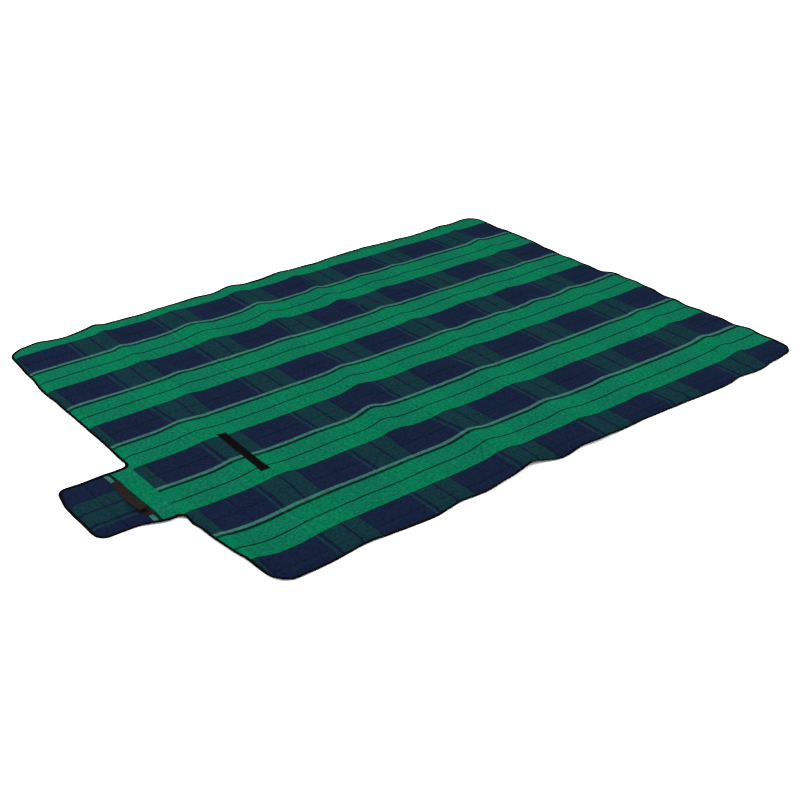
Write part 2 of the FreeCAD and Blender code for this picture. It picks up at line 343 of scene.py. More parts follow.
def cloth_bottom(x, y):
    """Height of the face cloth's underside."""
    return cloth_top(x, y) - RIM_CLOTH - (CLOTH - RIM_CLOTH) * puff(x, y)


def hook_bed(x, y):
    """1 over the hook strip and 0 away from it."""
    across = 1 - ease(np.maximum(HOOK_LOW.x - x, x - HOOK_HIGH.x), 0, 2 * MM)
    along = 1 - ease(np.maximum(HOOK_LOW.y - y, y - HOOK_HIGH.y), 0, 2 * MM)
    return across * along


def film_bottom(x, y):
    """Height of the backing film's underside."""
    over_lip = (TAPE + LAYER_GAP) * (1 - ease(inset(x, y), LIP - 0.5 * MM, LIP + 4 * MM))
    return over_lip + HOOK_BED * hook_bed(x, y)


def film_top(x, y):
    """Height of the backing film's upper side."""
    return film_bottom(x, y) + FILM


def padding_bottom(x, y):
    """Height of the padding's underside, just above the film."""
    return film_top(x, y) + LAYER_GAP


def padding_top(x, y):
    """Height of the padding's upper side, below the face cloth and the tongue's turned-under edge."""
    turned_under = at_root(y) * (1 - ease(x, LEFT + 11 * MM, LEFT + 14 * MM)) * (x > SEAM - 1 * MM)
    top = cloth_bottom(x, y) - LAYER_GAP - TURNED_UNDER * turned_under * puff(x, y)
    return np.maximum(top, padding_bottom(x, y) + 0.02 * MM)


# Lines and meshes


def distance_along(line):
    """How far each point of a line lies from its start, along the line."""
    return np.concatenate([[0], np.cumsum(np.linalg.norm(np.diff(line, axis=0), axis=1))])


def evenly_spaced(line, travelled, count):
    """A line of (x, y, z) points drawn again in that many even steps."""
    places = np.linspace(0, travelled[-1], count + 1)
    return np.stack([np.interp(places, travelled, line[:, k]) for k in range(3)], -1)


def steps(*stretches):
    """Coordinates along several stretches, each (start, end, largest step)."""
    parts = []
    for start, end, step in stretches:
        count = max(1, math.ceil(abs(end - start) / step - 1e-6))
        parts.append(np.linspace(start, end, count + 1)[:-1])
    return np.concatenate([*parts, [stretches[-1][1]]])


def make_mesh(name, points, faces, material, uv=None):
    """A smooth-shaded mesh object. uv holds one flat-cloth place per point, in metres."""
    mesh = bpy.data.meshes.new(name)
    mesh.from_pydata(points.reshape(-1, 3).tolist(), [], faces)
    mesh.polygons.foreach_set("use_smooth", [True] * len(mesh.polygons))
    mesh.set_sharp_from_angle(angle=math.radians(50))
    if uv is not None:
        corners = np.zeros(len(mesh.loops), int)
        mesh.loops.foreach_get("vertex_index", corners)
        layer = mesh.uv_layers.new(name="Flat")
        layer.data.foreach_set("uv", uv.reshape(-1, 2)[corners].astype(np.float32).ravel())
    mesh.materials.append(material)
    mesh.validate()
    made = bpy.data.objects.new(name, mesh)
    bpy.context.scene.collection.objects.link(made)
    return made


def slab_faces(columns, rows):
    """Faces of a closed slab whose upper grid of points comes before its lower one."""
    index = np.arange(columns * rows).reshape(columns, rows)
    upper = np.stack([index[:-1, :-1], index[1:, :-1], index[1:, 1:], index[:-1, 1:]], -1)
    upper = upper.reshape(-1, 4)
    lower = upper[:, ::-1] + columns * rows
    rim = np.concatenate([index[:-1, 0], index[-1, :-1], index[:0:-1, -1], index[0, :0:-1]])
    after = np.roll(rim, -1)
    wall = np.stack([rim, rim + columns * rows, after + columns * rows, after], -1)
    return np.concatenate([upper, lower, wall]).tolist()


def closed_sheet(name, upper, lower, material, places):
    """A closed thin solid between two grids of points, with a flat-cloth place for each pair."""
    faces = slab_faces(*places.shape[:2])
    uv = np.concatenate([places, places])
    return make_mesh(name, np.concatenate([upper, lower]), faces, material, uv)


def slab(name, x, y, bottom, top, material, uv):
    """A closed thin solid over a grid of flat points, laid on the ground."""
    upper, lower = laid(x, y, top(x, y)), laid(x, y, bottom(x, y))
    return closed_sheet(name, upper, lower, material, uv(x, y))


def panel_uv(x, y):
    """Place on the face cloth, from its left edge and from the middle of its width.

    The weave keeps its even spacing where the outline strays, because the cloth was cut unevenly.
    """
    aside_x, aside_y = outline_shift(x, y)
    return np.stack([x + aside_x - LEFT, y + aside_y], -1)


def rounded(x, y, edge):
    """Moves the corner parts of a rectangular grid of flat points onto the panel's rounded corners."""
    radius = CORNER - edge
    reach = [(RIGHT - LEFT) / 2 - CORNER, (BACK - FRONT) / 2 - CORNER]
    middle = [(RIGHT + LEFT) / 2, (BACK + FRONT) / 2]
    side = [np.sign(x - middle[0]), np.sign(y - middle[1])]
    across = np.clip((np.abs(x - middle[0]) - reach[0]) / radius, 0, 1)
    along = np.clip((np.abs(y - middle[1]) - reach[1]) / radius, 0, 1)
    corner = (across > 0) & (along > 0)
    round_x = middle[0] + side[0] * (reach[0] + radius * across * np.sqrt(1 - along**2 / 2))
    round_y = middle[1] + side[1] * (reach[1] + radius * along * np.sqrt(1 - across**2 / 2))
    return np.where(corner, round_x, x), np.where(corner, round_y, y)


def before_drawn_in(y):
    """The flat Y coordinate of cloth that lies at y once the blanket has drawn in."""
    return (y - DRAWN_IN * FRONT) / (1 - DRAWN_IN)


def panel_rows(low, high, step):
    """Y coordinates from low to high, close together where the panel folds and where pieces meet.

    Near the front fold the cloth has been dragged forwards, so more of it may lie in the bend.
    """
    fine = 1.2 * MM
    dragged = 24 * MM
    bends = [sorted(before_drawn_in(y) for y in bend) for bend in (FRONT_BEND, CENTRE_BEND, BACK_BEND)]
    bends[0][1] += dragged
    stretches = []
    here = low
    for start, end in sorted([*bends, [SPLIT_FRONT, SPLIT_FRONT], [SPLIT_BACK, SPLIT_BACK]]):
        start, end = max(start - fine, low), min(end + fine, high)
        if end <= start:
            continue
        if start > here + 1e-9:
            stretches.append((here, start, step))
        stretches.append((start, end, fine))
        here = end
    if high > here + 1e-9:
        stretches.append((here, high, step))
    return steps(*stretches)


def panel_grid(low, high, step):
    """A grid of flat points over the panel between two Y coordinates, inside the binding."""
    edge = 4 * MM
    low_y, high_y = max(low, FRONT + TUCK), min(high, BACK - TUCK)
    columns = steps(
        (LEFT + TUCK, LEFT + CORNER, edge),
        (LEFT + CORNER, RIGHT - CORNER, step),
        (RIGHT - CORNER, RIGHT - TUCK, edge),
    )
    if low < FRONT + CORNER:
        corner_rows = steps((low_y, FRONT + CORNER, edge))
        rows = np.concatenate([corner_rows[:-1], panel_rows(FRONT + CORNER, high_y, step)])
    elif high > BACK - CORNER:
        corner_rows = steps((BACK - CORNER, high_y, edge))
        rows = np.concatenate([panel_rows(low_y, BACK - CORNER, step)[:-1], corner_rows])
    else:
        rows = panel_rows(low_y, high_y, step)
    x, y = np.meshgrid(columns, rows, indexing="ij")
    return rounded(x, y, TUCK)


def tongue_half_width(x, edge):
    """Half the tongue's width at x, edge inside its outline, from the flared root to the round end."""
    root = ROOT_FILLET + edge
    from_centre = np.clip(x - (LEFT - ROOT_FILLET), 0, root)
    flare = root - np.sqrt(root**2 - from_centre**2)
    end = TONGUE_CORNER - edge
    past = np.clip((TONGUE_END + TONGUE_CORNER) - x, 0, end)
    return TONGUE_HALF_WIDTH - edge + flare - (end - np.sqrt(end**2 - past**2))


def tongue_grid(step):
    """A grid of flat points over the tongue, inside the binding."""
    fine = 1.5 * MM
    columns = steps(
        (TONGUE_END + TUCK, TONGUE_END + TONGUE_CORNER, fine),
        (TONGUE_END + TONGUE_CORNER, SEAM - TONGUE_REACH - 2 * fine, step),
        (SEAM - TONGUE_REACH - 2 * fine, SEAM, fine),
    )
    rows = np.linspace(-1, 1, math.ceil(2 * TONGUE_HALF_WIDTH / step) + 1)
    x, share = np.meshgrid(columns, rows, indexing="ij")
    return x, TONGUE_Y + share * tongue_half_width(x, TUCK)


# The outline, in chains of flat points that each have an inward direction


def straight(start, end):
    """A straight stretch of the outline, with close points beside the tongue's bend."""
    start, end = np.array(start), np.array(end)
    if start[0] == end[0]:
        rows = panel_rows(min(start[1], end[1]), max(start[1], end[1]), 3 * MM)
        rows = rows if end[1] > start[1] else rows[::-1]
        points = np.stack([np.full_like(rows, start[0]), rows], -1)
    else:
        beside_bend = min(start[0], end[0]) < LEFT
        columns = steps((start[0], end[0], (1 if beside_bend else 3) * MM))
        points = np.stack([columns, np.full_like(columns, start[1])], -1)
    heading = (end - start) / np.linalg.norm(end - start)
    return points, np.tile([-heading[1], heading[0]], (len(points), 1))


def turn(centre_x, centre_y, radius, start, angle=90):
    """A round stretch of the outline, through an angle from its start, in degrees."""
    count = math.ceil(abs(math.radians(angle)) * radius / (1 * MM))
    angles = np.radians(np.linspace(start, start + angle, count + 1))
    spokes = np.stack([np.cos(angles), np.sin(angles)], -1)
    return np.array([centre_x, centre_y]) + radius * spokes, spokes * (-1 if angle > 0 else 1)


def chain(*stretches):
    """Several stretches end to end, as points and inward directions."""
    kept = [stretches[0], *[(points[1:], inward[1:]) for points, inward in stretches[1:]]]
    return tuple(np.concatenate(parts) for parts in zip(*kept))


def outline_chains():
    """The outline, anticlockwise, cut into the stretches that each binding piece covers."""
    left, right = LEFT + CORNER, RIGHT - CORNER
    front, back = FRONT + CORNER, BACK - CORNER
    root_x = LEFT - ROOT_FILLET
    free = TONGUE_END + TONGUE_CORNER
    side_front, side_back = TONGUE_Y - TONGUE_HALF_WIDTH, TONGUE_Y + TONGUE_HALF_WIDTH
    root_front, root_back = side_front - ROOT_FILLET, side_back + ROOT_FILLET
    free_front, free_back = side_front + TONGUE_CORNER, side_back - TONGUE_CORNER
    return {
        "front": chain(
            straight((LEFT, root_front), (LEFT, front)),
            turn(left, front, CORNER, 180),
            straight((left, FRONT), (right, FRONT)),
            turn(right, front, CORNER, 270),
            straight((RIGHT, front), (RIGHT, SPLIT_FRONT)),
        ),
        "middle_right": chain(straight((RIGHT, SPLIT_FRONT), (RIGHT, SPLIT_BACK))),
        "back": chain(
            straight((RIGHT, SPLIT_BACK), (RIGHT, back)),
            turn(right, back, CORNER, 0),
            straight((right, BACK), (left, BACK)),
            turn(left, back, CORNER, 90),
            straight((LEFT, back), (LEFT, SPLIT_BACK)),
        ),
        "middle_left": chain(straight((LEFT, SPLIT_BACK), (LEFT, root_back))),
        "tongue": chain(
            turn(root_x, root_back, ROOT_FILLET, 0, -90),
            straight((root_x, side_back), (free, side_back)),
            turn(free, free_back, TONGUE_CORNER, 90),
            straight((TONGUE_END, free_back), (TONGUE_END, free_front)),
            turn(free, free_front, TONGUE_CORNER, 180),
            straight((free, side_front), (root_x, side_front)),
            turn(root_x, root_front, ROOT_FILLET, 90, -90),
        ),
    }


TAPE_FOLD = 1.2 * MM

# The upper lip's outer side: (inset, how far below the edge's full height, share of the thickness)
UPPER_LIP = (
    (0.45 * LIP, 0.05 * MM, 1),
    (STITCH_INSET, 0.36 * MM, 1),
    (LIP - 0.7 * MM, 0.30 * MM, 1),
    (LIP, 0.48 * MM, 0.8),
)


def tape_section():
    """The folded tape's section as (inset, height) rows: its outer side, then its inner side.

    Both run from the lower lip's edge, round the fold, to the upper lip's edge.
    """
    fold = TAPE_FOLD
    middle = EDGE_HEIGHT / 2
    angles = np.radians(np.linspace(-90, -270, 11))

    def side(depth):
        lower = [(LIP, depth), (0.6 * LIP, depth), (fold + 0.4 * MM, depth)]
        round_part = [
            (fold + (fold - depth) * math.cos(angle), middle + (middle - depth) * math.sin(angle))
            for angle in angles
        ]
        upper = [(place, EDGE_HEIGHT - dip - share * depth) for place, dip, share in UPPER_LIP]
        return lower + round_part + upper

    return np.array([side(0.0), side(TAPE)])


def tape(name, path, material):
    """A piece of the binding: the tape's section carried along a chain of the outline."""
    points, inward = path
    outer, inner = tape_section()
    ring = np.concatenate([outer, inner[::-1]])
    x = points[:, None, 0] + inward[:, None, 0] * ring[None, :, 0]
    y = points[:, None, 1] + inward[:, None, 1] * ring[None, :, 0]
    pucker = ripple(x, y, *TAPE_PUCKER)
    z = np.maximum(ring[None, :, 1] + pucker * (ring[None, :, 1] > 0.5 * EDGE_HEIGHT), 0)
    rings, size = x.shape
    index = np.arange(rings * size).reshape(rings, size)
    after = np.roll(index, -1, axis=1)
    sides = np.stack([index[:-1], index[1:], after[1:], after[:-1]], -1).reshape(-1, 4)
    half = size // 2
    caps = []
    for ring_index, flip in ((0, 1), (rings - 1, -1)):
        for k in range(half - 1):
            cap = [k, k + 1, size - 2 - k, size - 1 - k][::flip]
            caps.append([int(index[ring_index, corner]) for corner in cap])
    uv = np.stack(np.meshgrid(distance_along(points), distance_along(ring), indexing="ij"), -1)
    return make_mesh(name, laid(x, y, z), sides.tolist() + caps, material, uv)


def tube_faces(first, rings, sides):
    """Faces of a closed tube whose rings of points are numbered from first."""
    around = range(sides)
    faces = []
    for low in range(first, first + (rings - 1) * sides, sides):
        for k in around:
            after = (k + 1) % sides
            faces.append([low + k, low + sides + k, low + sides + after, low + after])
    last = first + (rings - 1) * sides
    return [*faces, [first + k for k in around], [last + k for k in reversed(around)]]


def stitches(name, rows, material, pitch=3.4 * MM, width=0.55 * MM, height=0.45 * MM):
    """Rows of stitches along lines of flat points (x, y, z), each stitch a small rounded capsule."""
    along = np.array([-0.46, -0.40, -0.22, 0.22, 0.40, 0.46])
    girth = np.array([0.25, 0.70, 1.00, 1.00, 0.70, 0.25]) / 2
    sides = 6
    angles = np.arange(sides) * 2 * math.pi / sides
    points, faces = [], []
    for row in rows:
        travelled = distance_along(row)
        ends = evenly_spaced(row, travelled, max(1, round(travelled[-1] / pitch)))
        for start, end in zip(ends, ends[1:]):
            heading = end - start
            aside = np.array([-heading[1], heading[0], 0]) / np.linalg.norm(heading[:2])
            faces += tube_faces(len(points) * sides, len(along), sides)
            for share, radius in zip(along, girth):
                centre = (start + end) / 2 + heading * share
                ring = centre + np.outer(np.cos(angles) * radius * width, aside)
                ring[:, 2] += np.sin(angles) * radius * height
                points.append(ring)
    points = np.concatenate(points)
    return make_mesh(name, laid(points[:, 0], points[:, 1], points[:, 2]), faces, material)


def binding_stitch_row(path):
    """The line of the stitches along one chain's upper lip."""
    points, inward = path
    line = points + inward * STITCH_INSET
    return np.column_stack([line, np.full(len(line), EDGE_HEIGHT - 0.28 * MM)])


# Materials


class Shader:
    """A node-based material being made."""

    def __init__(self, name, roughness, specular):
        self.material = bpy.data.materials.new(name)
        self.material.use_nodes = True
        self.tree = self.material.node_tree
        self.surface = self.tree.nodes["Principled BSDF"]
        self.surface.inputs["Roughness"].default_value = roughness
        self.surface.inputs["Specular IOR Level"].default_value = specular

    def put(self, socket, value):
        """Links a socket or sets its value; a colour of three numbers becomes opaque."""
        if isinstance(value, bpy.types.NodeSocket):
            self.tree.links.new(value, socket)
        elif socket.type == "RGBA" and len(value) == 3:
            socket.default_value = (*value, 1)
        else:
            socket.default_value = value

    def node(self, kind, inputs=None, **settings):
        """A new node with its settings and its inputs, by name."""
        made = self.tree.nodes.new(kind)
        for name, value in settings.items():
            setattr(made, name, value)
        for name, value in (inputs or {}).items():
            self.put(made.inputs[name], value)
        return made

    def calc(self, operation, *values):
        """The result of a math node."""
        made = self.node("ShaderNodeMath", operation=operation)
        for socket, value in zip(made.inputs, values):
            self.put(socket, value)
        return made.outputs[0]

    def product(self, first, *others):
        """Several values multiplied together."""
        for value in others:
            first = self.calc("MULTIPLY", first, value)
        return first

    def weighted(self, *parts):
        """The sum of several (value, weight) pairs."""
        total = self.calc("MULTIPLY", *parts[0])
        for value, weight in parts[1:]:
            total = self.calc("ADD", total, self.calc("MULTIPLY", value, weight))
        return total

    def mix(self, blend, share, first, second):
        """Two colours mixed by a share, with the given blend."""
        made = self.node("ShaderNodeMix", data_type="RGBA", blend_type=blend)
        for index, value in ((0, share), (6, first), (7, second)):
            self.put(made.inputs[index], value)
        return made.outputs[2]

    def place(self):
        """The flat place on the piece, in metres, as (vector, u, v)."""
        vector = self.node("ShaderNodeUVMap", uv_map="Flat").outputs[0]
        parts = self.node("ShaderNodeSeparateXYZ", {"Vector": vector})
        return vector, parts.outputs[0], parts.outputs[1]

    def noise(self, vector, scale, detail=2.0, roughness=0.5):
        """Noise around a half, with scale cells to the metre."""
        inputs = {"Vector": vector, "Scale": scale, "Detail": detail, "Roughness": roughness}
        return self.node("ShaderNodeTexNoise", inputs).outputs["Fac"]

    def scaled(self, vector, scale):
        """A place stretched along each axis."""
        inputs = {"Vector": vector, "Scale": scale}
        return self.node("ShaderNodeMapping", inputs).outputs[0]

    def wave(self, coordinate, pitch):
        """A sine wave along a coordinate, from 0 to 1."""
        angle = self.calc("MULTIPLY", coordinate, 2 * math.pi / pitch)
        return self.calc("MULTIPLY_ADD", self.calc("SINE", angle), 0.5, 0.5)

    def ranged(self, value, low, high):
        """A value from 0 to 1 brought to the range from low to high."""
        return self.calc("MULTIPLY_ADD", value, high - low, low)

    def bands(self, coordinate, period, edges):
        """Colour bands that repeat along a coordinate: each edge is (where it starts in mm, colour)."""
        share = self.calc("FRACT", self.calc("DIVIDE", coordinate, period))
        ramp = self.node("ShaderNodeValToRGB", {"Fac": share})
        ramp.color_ramp.interpolation = "CONSTANT"
        marks = ramp.color_ramp.elements
        marks.remove(marks[1])
        for number, (start, colour) in enumerate(edges):
            mark = marks[0] if number == 0 else marks.new(start * MM / period)
            mark.position = start * MM / period
            mark.color = (*colour, 1)
        return ramp.outputs[0]

    def finish(self, colour, height, bump_depth, strength):
        """Joins the colour and a bump of the given depth in metres to the surface."""
        self.put(self.surface.inputs["Base Color"], colour)
        inputs = {"Height": height, "Distance": bump_depth, "Strength": strength}
        bump = self.node("ShaderNodeBump", inputs)
        self.put(self.surface.inputs["Normal"], bump.outputs[0])
        return self.material


# Tartan colours
GREEN = (0.0012, 0.0780, 0.0360)
NAVY = (0.0034, 0.0056, 0.0165)
DEEP_NAVY = (0.0022, 0.0036, 0.0105)
PALE = (0.0210, 0.0740, 0.0640)
DARK = (0.0003, 0.0085, 0.0046)
SOFT_GREEN = (0.0006, 0.0520, 0.0220)
SOFT_NAVY = (0.0030, 0.0040, 0.0180)
SOFT_PALE = (0.0070, 0.0480, 0.0420)
SOFT_DARK = (0.0002, 0.0012, 0.0020)

# Tartan set, as (start in mm, colour): one repeat of the strong stripes, counted across the
# blanket's width, and one of the faint stripes, counted along its length
ACROSS_BANDS = (
    (0, PALE), (8.65, DARK), (16.7, GREEN), (62.7, DARK), (66.7, GREEN), (111, DARK), (115, NAVY),
    (163, DEEP_NAVY), (167, NAVY),
)
ALONG_BANDS = (
    (0, SOFT_NAVY), (4, SOFT_PALE), (11, SOFT_DARK), (19, SOFT_GREEN), (62.5, SOFT_DARK),
    (67.5, SOFT_GREEN), (106, SOFT_DARK), (111, SOFT_NAVY), (169, SOFT_DARK), (173, SOFT_NAVY),
)

# How far apart the repeats are, where they start, and the strong stripes' slight slant
ACROSS_PERIOD = 208.8 * MM
ALONG_PERIOD = 227 * MM
ACROSS_START = 16.0 * MM
ALONG_START = 130 * MM
ACROSS_SLANT = 0.0045
SLANT_FROM = 0.75

# How much of the faint stripes shows through, and how far apart the twill's ridges are
ALONG_SHARE = 0.16
TWILL_PITCH = 3.2 * MM


def tartan_material():
    """Brushed tartan: strong stripes along the blanket, faint ones across it, twill and nap."""
    shader = Shader("tartan_cloth", roughness=0.92, specular=0.0)
    vector, u, v = shader.place()
    drift = shader.calc("MULTIPLY", shader.noise(vector, 7.0), 4 * MM)
    slanted = shader.calc("MULTIPLY_ADD", shader.calc("SUBTRACT", u, SLANT_FROM), ACROSS_SLANT, v)
    from_back = shader.calc("SUBTRACT", shader.calc("ADD", drift, ACROSS_START), slanted)
    across = shader.bands(
        from_back,
        ACROSS_PERIOD,
        ACROSS_BANDS,
    )
    along = shader.bands(
        shader.calc("SUBTRACT", shader.calc("ADD", u, drift), ALONG_START),
        ALONG_PERIOD,
        ALONG_BANDS,
    )
    woven = shader.mix("MIX", ALONG_SHARE, across, along)

    diagonal = shader.calc("MULTIPLY", shader.calc("ADD", u, v), math.sqrt(0.5))
    twill = shader.wave(diagonal, TWILL_PITCH)
    nap = shader.noise(shader.scaled(vector, (1.0, 0.35, 1.0)), 900.0, 3.0, 0.6)
    tufts = shader.noise(vector, 160.0, 4.0, 0.62)
    patches = shader.noise(vector, 11.0, 3.0)
    shade = shader.product(
        shader.ranged(twill, 0.86, 1.1),
        shader.ranged(tufts, 0.0, 2.0),
        shader.ranged(patches, 0.88, 1.12),
        shader.ranged(nap, 0.85, 1.15),
    )
    colour = shader.mix("MULTIPLY", 1.0, woven, shade)

    height = shader.weighted((twill, 0.45), (nap, 0.5), (tufts, 0.9))
    sheen = {"Sheen Weight": 0.01, "Sheen Roughness": 0.5, "Sheen Tint": (0.25, 0.85, 0.75)}
    for name, value in sheen.items():
        shader.put(shader.surface.inputs[name], value)
    return shader.finish(colour, height, 0.5 * MM, 0.7)


def binding_material():
    """Black grosgrain tape: fine ribs across the tape, and a soft gloss."""
    shader = Shader("binding_tape", roughness=0.62, specular=0.002)
    vector, u, _ = shader.place()
    ribs = shader.wave(u, 0.9 * MM)
    fibres = shader.noise(vector, 1500.0, 2.0)
    puckers = shader.noise(shader.scaled(vector, (1.0, 0.25, 1.0)), 220.0, 2.0)
    colour = shader.mix("MIX", fibres, (0.0006, 0.0006, 0.0008), (0.0020, 0.0020, 0.0024))
    return shader.finish(colour, shader.weighted((ribs, 0.4), (puckers, 1.2)), 0.35 * MM, 0.8)


def thread_material():
    """Twisted black polyester thread."""
    shader = Shader("sewing_thread", roughness=0.5, specular=0.01)
    coordinate = shader.node("ShaderNodeTexCoord").outputs["Object"]
    twist = shader.noise(coordinate, 2500.0, 1.0)
    colour = shader.mix("MIX", twist, (0.0015, 0.0015, 0.0018), (0.006, 0.006, 0.0065))
    return shader.finish(colour, twist, 0.1 * MM, 0.6)


def webbing_material():
    """Dark brown-black webbing with a fine herringbone."""
    shader = Shader("webbing", roughness=0.6, specular=0.005)
    vector, u, v = shader.place()
    rib = shader.calc("PINGPONG", v, 1.6 * MM)
    bones = shader.wave(shader.calc("ADD", u, rib), 1.3 * MM)
    fibres = shader.noise(vector, 1300.0, 2.0)
    shade = shader.product(shader.ranged(bones, 0.6, 1.25), shader.ranged(fibres, 0.75, 1.25))
    colour = shader.mix("MULTIPLY", 1.0, (0.0092, 0.0070, 0.0060), shade)
    return shader.finish(colour, shader.weighted((bones, 1), (fibres, 0.6)), 0.3 * MM, 0.8)


def closure_material():
    """The black pile of hook-and-loop tape."""
    shader = Shader("closure_tape", roughness=0.85, specular=0.002)
    vector, u, _ = shader.place()
    pile = shader.noise(vector, 700.0, 4.0, 0.7)
    rows = shader.wave(u, 1.4 * MM)
    colour = shader.mix("MIX", pile, (0.0007, 0.0007, 0.0007), (0.0028, 0.0027, 0.0026))
    return shader.finish(colour, shader.weighted((pile, 1), (rows, 0.25)), 0.5 * MM, 0.9)


def film_material():
    """Charcoal waterproof film with a fine diamond embossing and faint wrinkles."""
    shader = Shader("backing_film", roughness=0.42, specular=0.45)
    vector, u, v = shader.place()
    first = shader.wave(shader.calc("ADD", u, v), 2.6 * MM)
    second = shader.wave(shader.calc("SUBTRACT", u, v), 2.6 * MM)
    wrinkles = shader.noise(vector, 45.0, 4.0, 0.6)
    patches = shader.noise(vector, 9.0, 3.0)
    colour = shader.mix("MIX", patches, (0.0095, 0.0100, 0.0108), (0.0165, 0.0172, 0.0185))
    height = shader.weighted((shader.product(first, second), 0.35), (wrinkles, 1))
    return shader.finish(colour, height, 0.8 * MM, 0.6)


def padding_material():
    """White polyester wadding."""
    shader = Shader("wadding_fill", roughness=0.95, specular=0.1)
    vector = shader.place()[0]
    fibres = shader.noise(shader.scaled(vector, (1.0, 0.3, 1.0)), 400.0, 5.0, 0.7)
    colour = shader.mix("MIX", fibres, (0.62, 0.61, 0.58), (0.85, 0.84, 0.82))
    return shader.finish(colour, fibres, 0.8 * MM, 0.8)


tartan = tartan_material()
binding_black = binding_material()
thread = thread_material()
webbing = webbing_material()
closure = closure_material()
film = film_material()
padding = padding_material()


# Placing pieces on the CAD bodies


def declare(piece, bodies, replaced, bend=None):
    """Makes a piece ride one body; given a bend, only bakes its placement into its points. Hides the
    CAD nodes it stands for.
    """
    if bend is None:
        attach(piece, bodies)
    else:
        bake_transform(piece)
    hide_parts(*replaced)


PANEL_PARTS = {
    "front": {
        "reach": (FRONT, SPLIT_FRONT),
        "regions": ("front", "centre_front"),
        "bodies": ("centre_front_quarter", "front_quarter"),
        "bend": [(0, y, 0) for y in FRONT_BEND],
    },
    "middle": {
        "reach": (SPLIT_FRONT, SPLIT_BACK),
        "regions": ("centre_front", "centre_back"),
        "bodies": ("centre_front_quarter", "centre_back_quarter"),
        "bend": [(0, y, 0) for y in CENTRE_BEND],
    },
    "back": {
        "reach": (SPLIT_BACK, BACK),
        "regions": ("centre_back", "back"),
        "bodies": ("centre_back_quarter", "back_quarter"),
        "bend": [(0, y, 0) for y in BACK_BEND],
    },
}
TONGUE_PART = {
    "regions": ("tongue",),
    "bodies": ("centre_front_quarter", "tongue"),
    "bend": ((SEAM - BROADEST_LEFT, 0, 0), (SEAM - BROADEST_LEFT - TONGUE_REACH, 0, 0)),
}


def nodes_of(layer, part):
    """The CAD nodes of one layer that a part covers."""
    return [f"{layer}_{region}" for region in part["regions"]]


def tongue_uv(x, y):
    """Place on the tongue's cloth, which is cut a quarter turn from the panel's.

    The pale band lies across the tongue, and the cloth's length runs towards the blanket's back.
    """
    pale_from_seam = 51.5 * MM
    pale_from_front = 37.8 * MM
    askew = 0.03 * (y - TONGUE_Y)
    stretched = 0.85
    along = ALONG_START + 6 * MM + (y - (TONGUE_Y - TONGUE_HALF_WIDTH)) - pale_from_front
    past_pale = (LEFT - x) - pale_from_seam - askew
    past_pale = np.where(past_pale > 0, past_pale * stretched, past_pale)
    across = ACROSS_START - 4.3 * MM + past_pale
    return np.stack([along, across - ACROSS_SLANT * (along - SLANT_FROM)], -1)


def add_layers(part_name, part, grids, uv):
    """The face cloth, padding and film of one part."""
    fine, coarse = grids
    cloth = slab(f"cloth_{part_name}", *fine, cloth_bottom, cloth_top, tartan, uv)
    fill = slab(f"padding_{part_name}", *coarse, padding_bottom, padding_top, padding, uv)
    back = slab(f"film_{part_name}", *coarse, film_bottom, film_top, film, uv)
    for piece, layer, slot in (
        (cloth, "face_cloth", "tartan_cloth"),
        (fill, "wadding", "wadding_fill"),
        (back, "backing", "backing_film"),
    ):
        declare(piece, part["bodies"], nodes_of(layer, part), part["bend"])
    return cloth, back


def add_edge(name, path, part):
    """One stretch of binding tape and its stitches."""
    band = tape(f"edge_tape_{name}", path, binding_black)
    declare(band, part["bodies"], nodes_of("binding", part), part["bend"])
    sewn = stitches(f"edge_stitches_{name}", [binding_stitch_row(path)], thread)
    declare(sewn, part["bodies"], nodes_of("binding_thread", part), part["bend"])
    return [band, sewn]


CHAINS = outline_chains()
CLOTH_STEP = 5 * MM
INNER_STEP = 8 * MM
TONGUE_STEP = 2.5 * MM

for part_name, part in PANEL_PARTS.items():
    grid = panel_grid(*part["reach"], CLOTH_STEP)
    coarse_grid = panel_grid(*part["reach"], INNER_STEP)
    cloth, back = add_layers(part_name, part, (grid, coarse_grid), panel_uv)
    trim = []
    for chain_name, path in CHAINS.items():
        if chain_name.startswith(part_name):
            trim += add_edge(chain_name, path, part)

grid = tongue_grid(TONGUE_STEP)
cloth, back = add_layers("tongue", TONGUE_PART, (grid, grid), tongue_uv)
add_edge("tongue", CHAINS["tongue"], TONGUE_PART)


# The tongue's turned-under edge and its seam


def add_seam():
    """The edge of the tongue's cloth, folded under the panel's face cloth and sewn there."""
    half_length = TONGUE_HALF_WIDTH - 15 * MM
    columns = np.linspace(SEAM + 0.3 * MM, LEFT + 10 * MM, 5)
    rows = np.linspace(TONGUE_Y - half_length, TONGUE_Y + half_length, 40)
    x, y = np.meshgrid(columns, rows, indexing="ij")
    turned = slab(
        "seam_allowance",
        x,
        y,
        lambda a, b: cloth_bottom(a, b) - LAYER_GAP - 0.8 * MM,
        lambda a, b: cloth_bottom(a, b) - LAYER_GAP,
        tartan,
        tongue_uv,
    )
    declare(turned, "centre_front_quarter", ["tongue_seam_allowance"])
    seam_x = np.full(len(rows), SEAM + 2.5 * MM)
    line = np.column_stack([seam_x, rows, cloth_bottom(seam_x, rows) - TURNED_UNDER])
    sewn = stitches("seam_stitches", [line], thread)
    declare(sewn, "centre_front_quarter", ["tongue_seam_thread"])


add_seam()


# Hook-and-loop closure


def tilted(middle, a, b, tilt):
    """Flat points from places (a, b) on a strip that is tilted round its middle."""
    x = middle[0] + a * math.cos(tilt) - b * math.sin(tilt)
    y = middle[1] + a * math.sin(tilt) + b * math.cos(tilt)
    return x, y


